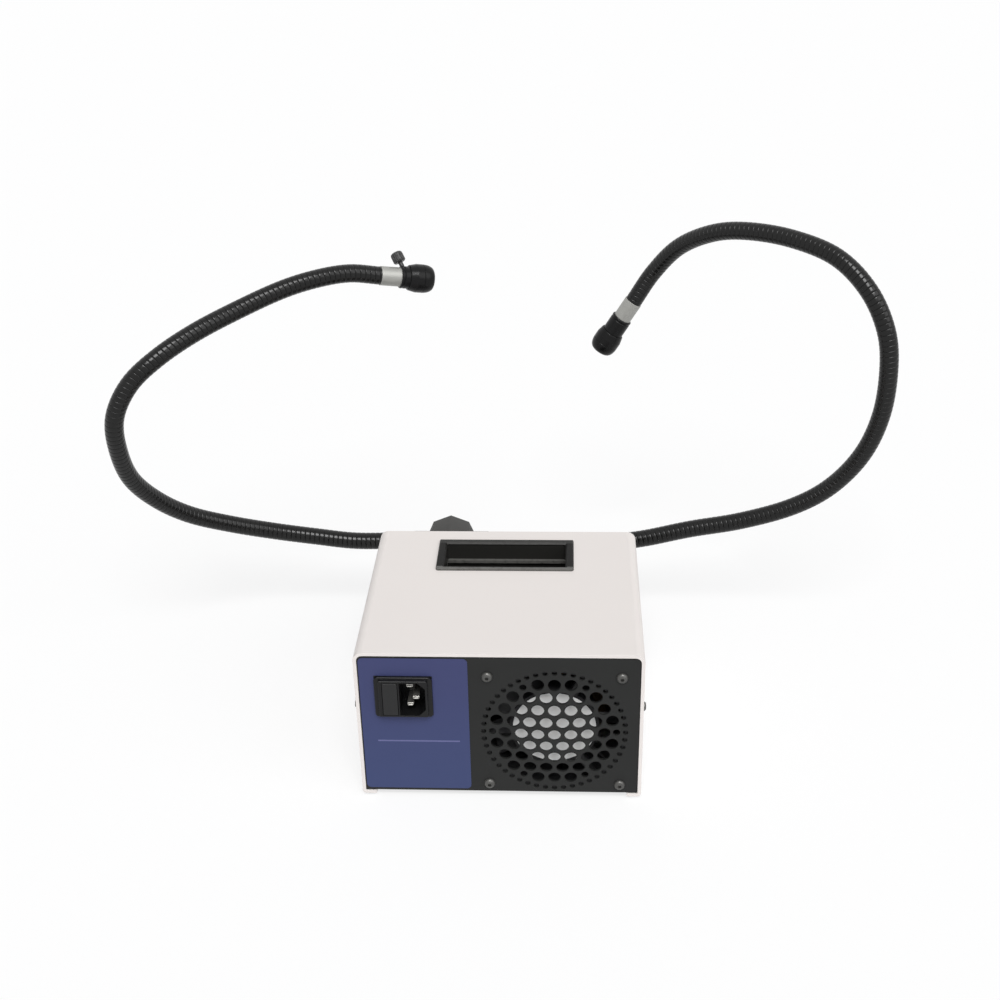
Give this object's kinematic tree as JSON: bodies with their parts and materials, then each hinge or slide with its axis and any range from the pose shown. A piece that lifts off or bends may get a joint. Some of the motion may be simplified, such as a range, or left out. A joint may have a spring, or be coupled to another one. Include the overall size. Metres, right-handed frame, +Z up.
{
  "type": "fibre optic illuminator",
  "caption": "Bench lamp box with fan grille, mains inlet, handle pocket, brightness knob and a light port that feeds a pair of gooseneck light guides.",
  "frame": {"origin": "on the bench, under the middle of the box", "axes": "+Z up; +Y from the rear panel (fan grille, mains inlet) to the front panel (light port, knob, switch); +X to the right when looking at the rear panel"},
  "size_m": [0.5358, 0.3315, 0.2978],
  "materials": {
    "cover_enamel": "warm off-white powder coat, fine texture",
    "black_steel": "satin black paint on steel sheet",
    "label_blue": "printed blue-violet film, satin",
    "handle_plastic": "moulded dark plastic, fine grain",
    "black_screw": "blackened steel, domed button head",
    "zinc_screw": "zinc-plated steel",
    "rubber_black": "moulded rubber",
    "fan_plastic": "moulded black plastic",
    "foil": "satin foil disc",
    "inlet_plastic": "glossy black moulding",
    "plated_pin": "nickel-plated brass",
    "fuse_glass": "glass tube fuses",
    "core_steel": "varnished steel laminations",
    "coil_wrap": "enamelled copper winding under tape",
    "zinc_sheet": "zinc-plated sheet",
    "board_green": "circuit board with parts",
    "heat_sink_alloy": "extruded aluminium",
    "bright_alloy": "turned aluminium, satin",
    "knob_black": "fluted black plastic",
    "switch_plastic": "moulded black plastic",
    "dichroic_glass": "coated glass reflector",
    "lamp_glass": "clear quartz capsule",
    "lamp_ceramic": "unglazed ceramic",
    "filter_glass": "pale green heat-absorbing glass",
    "black_anodised": "black anodised, turned",
    "fibre_end": "polished glass fibre bundle",
    "junction_grey": "dark grey moulded block, fine grain",
    "hose_black": "black plastic-coated spiral hose, fine ribs",
    "tip_black": "satin black anodised",
    "lens_glass": "polished clear glass",
    "screw_grey": "dark grey knurled thumbscrew"
  },
  "bodies": {
    "lamp_house": {"cover": "cover_enamel", "chassis_base": "black_steel", "rear_panel": "black_steel", "rear_label": "label_blue", "front_panel": "black_steel", "handle_tray": "handle_plastic", "cover_screws": "black_screw", "base_screws": "zinc_screw", "feet": "rubber_black", "feet_screws": "zinc_screw", "fan_frame": "fan_plastic", "motor_label": "foil", "fan_screws": "black_screw", "inlet_housing": "inlet_plastic", "inlet_pins": "plated_pin", "transformer_core": "core_steel", "transformer_coil": "coil_wrap", "transformer_bracket": "zinc_sheet", "dimmer_board": "board_green", "heat_sink": "heat_sink_alloy", "potentiometer": "zinc_sheet", "switch_housing": "switch_plastic", "lamp_bracket": "zinc_sheet", "lamp_reflector": "dichroic_glass", "lamp_capsule": "lamp_glass", "lamp_socket": "lamp_ceramic", "heat_filter": "filter_glass", "light_port": "black_anodised"},
    "fan_rotor": {"fan_rotor": "fan_plastic"},
    "fuse_drawer": {"fuse_drawer": "inlet_plastic", "fuses": "fuse_glass"},
    "rocker": {"rocker": "switch_plastic"},
    "knob": {"knob": "knob_black", "pot_shaft": "bright_alloy"},
    "port_screw": {"port_screw": "black_anodised"},
    "light_guide": {"guide_stem": "bright_alloy", "input_fibres": "fibre_end", "junction_block": "junction_grey", "junction_screws": "black_screw", "left_hose_1": "hose_black", "right_hose_1": "hose_black"},
    "left_lower_arm": {"left_hose_2": "hose_black"},
    "left_upper_arm": {"left_hose_3": "hose_black"},
    "left_tip": {"left_hose_4": "hose_black", "left_ferrule": "bright_alloy", "left_fibres": "fibre_end", "left_collar": "tip_black"},
    "left_head": {"left_head": "tip_black", "left_lens": "lens_glass"},
    "left_screw": {"left_screw": "screw_grey"},
    "right_lower_arm": {"right_hose_2": "hose_black"},
    "right_upper_arm": {"right_hose_3": "hose_black"},
    "right_tip": {"right_hose_4": "hose_black", "right_ferrule": "bright_alloy", "right_fibres": "fibre_end", "right_collar": "tip_black"},
    "right_head": {"right_head": "tip_black", "right_lens": "lens_glass"},
    "right_screw": {"right_screw": "screw_grey"}
  },
  "joints": [
    {"name": "fan_spin", "type": "hinge", "parent": "lamp_house", "child": "fan_rotor", "pos_m": [0.034, -0.06, 0.0522], "axis": [0, 1, 0], "continuous": true},
    {"name": "fuse_slide", "type": "slide", "parent": "lamp_house", "child": "fuse_drawer", "axis": [0, -1, 0], "range_m": [0, 0.018]},
    {"name": "rocker_tilt", "type": "hinge", "parent": "lamp_house", "child": "rocker", "pos_m": [0.048, 0.0724, 0.028], "axis": [0, 0, -1], "range_deg": [0, 20]},
    {"name": "knob_turn", "type": "hinge", "parent": "lamp_house", "child": "knob", "pos_m": [0.048, 0.08, 0.068], "axis": [0, -1, 0], "range_deg": [0, 280]},
    {"name": "port_screw_turn", "type": "hinge", "parent": "lamp_house", "child": "port_screw", "pos_m": [-0.046, 0.086, 0.08], "axis": [0, 0, 1], "continuous": true},
    {"name": "guide_slide", "type": "slide", "parent": "lamp_house", "child": "light_guide", "axis": [0, 1, 0], "range_m": [0, 0.03]},
    {"name": "left_swing", "type": "hinge", "parent": "light_guide", "child": "left_lower_arm", "pos_m": [-0.091, 0.145, 0.062], "axis": [0, 0, 1], "range_deg": [-25, 25]},
    {"name": "left_raise", "type": "hinge", "parent": "left_lower_arm", "child": "left_upper_arm", "pos_m": [-0.21, 0.131, 0.084], "axis": [0, 1, 0], "range_deg": [-25, 25]},
    {"name": "left_aim", "type": "hinge", "parent": "left_upper_arm", "child": "left_tip", "pos_m": [-0.154, 0.131, 0.268], "axis": [0, 1, 0], "range_deg": [-25, 25]},
    {"name": "left_focus", "type": "slide", "parent": "left_tip", "child": "left_head", "axis": [0.9089, 0.3635, -0.2045], "range_m": [0, 0.0074]},
    {"name": "left_screw_turn", "type": "hinge", "parent": "left_tip", "child": "left_screw", "pos_m": [-0.07667, 0.17178, 0.27311], "axis": [-0.4493, 0.4413, 0.7768], "continuous": true},
    {"name": "right_swing", "type": "hinge", "parent": "light_guide", "child": "right_lower_arm", "pos_m": [-0.001, 0.145, 0.062], "axis": [0, 0, 1], "range_deg": [-25, 25]},
    {"name": "right_raise", "type": "hinge", "parent": "right_lower_arm", "child": "right_upper_arm", "pos_m": [0.205, 0.135, 0.098], "axis": [0, 1, 0], "range_deg": [-25, 25]},
    {"name": "right_aim", "type": "hinge", "parent": "right_upper_arm", "child": "right_tip", "pos_m": [0.143, 0.203, 0.283], "axis": [0, 1, 0], "range_deg": [-25, 25]},
    {"name": "right_focus", "type": "slide", "parent": "right_tip", "child": "right_head", "axis": [-0.5196, 0.0371, -0.8536], "range_m": [-0.0074, 0]},
    {"name": "right_screw_turn", "type": "hinge", "parent": "right_tip", "child": "right_screw", "pos_m": [0.08472, 0.24427, 0.20573], "axis": [0.4119, 0.8722, 0.2637], "continuous": true}
  ]
}
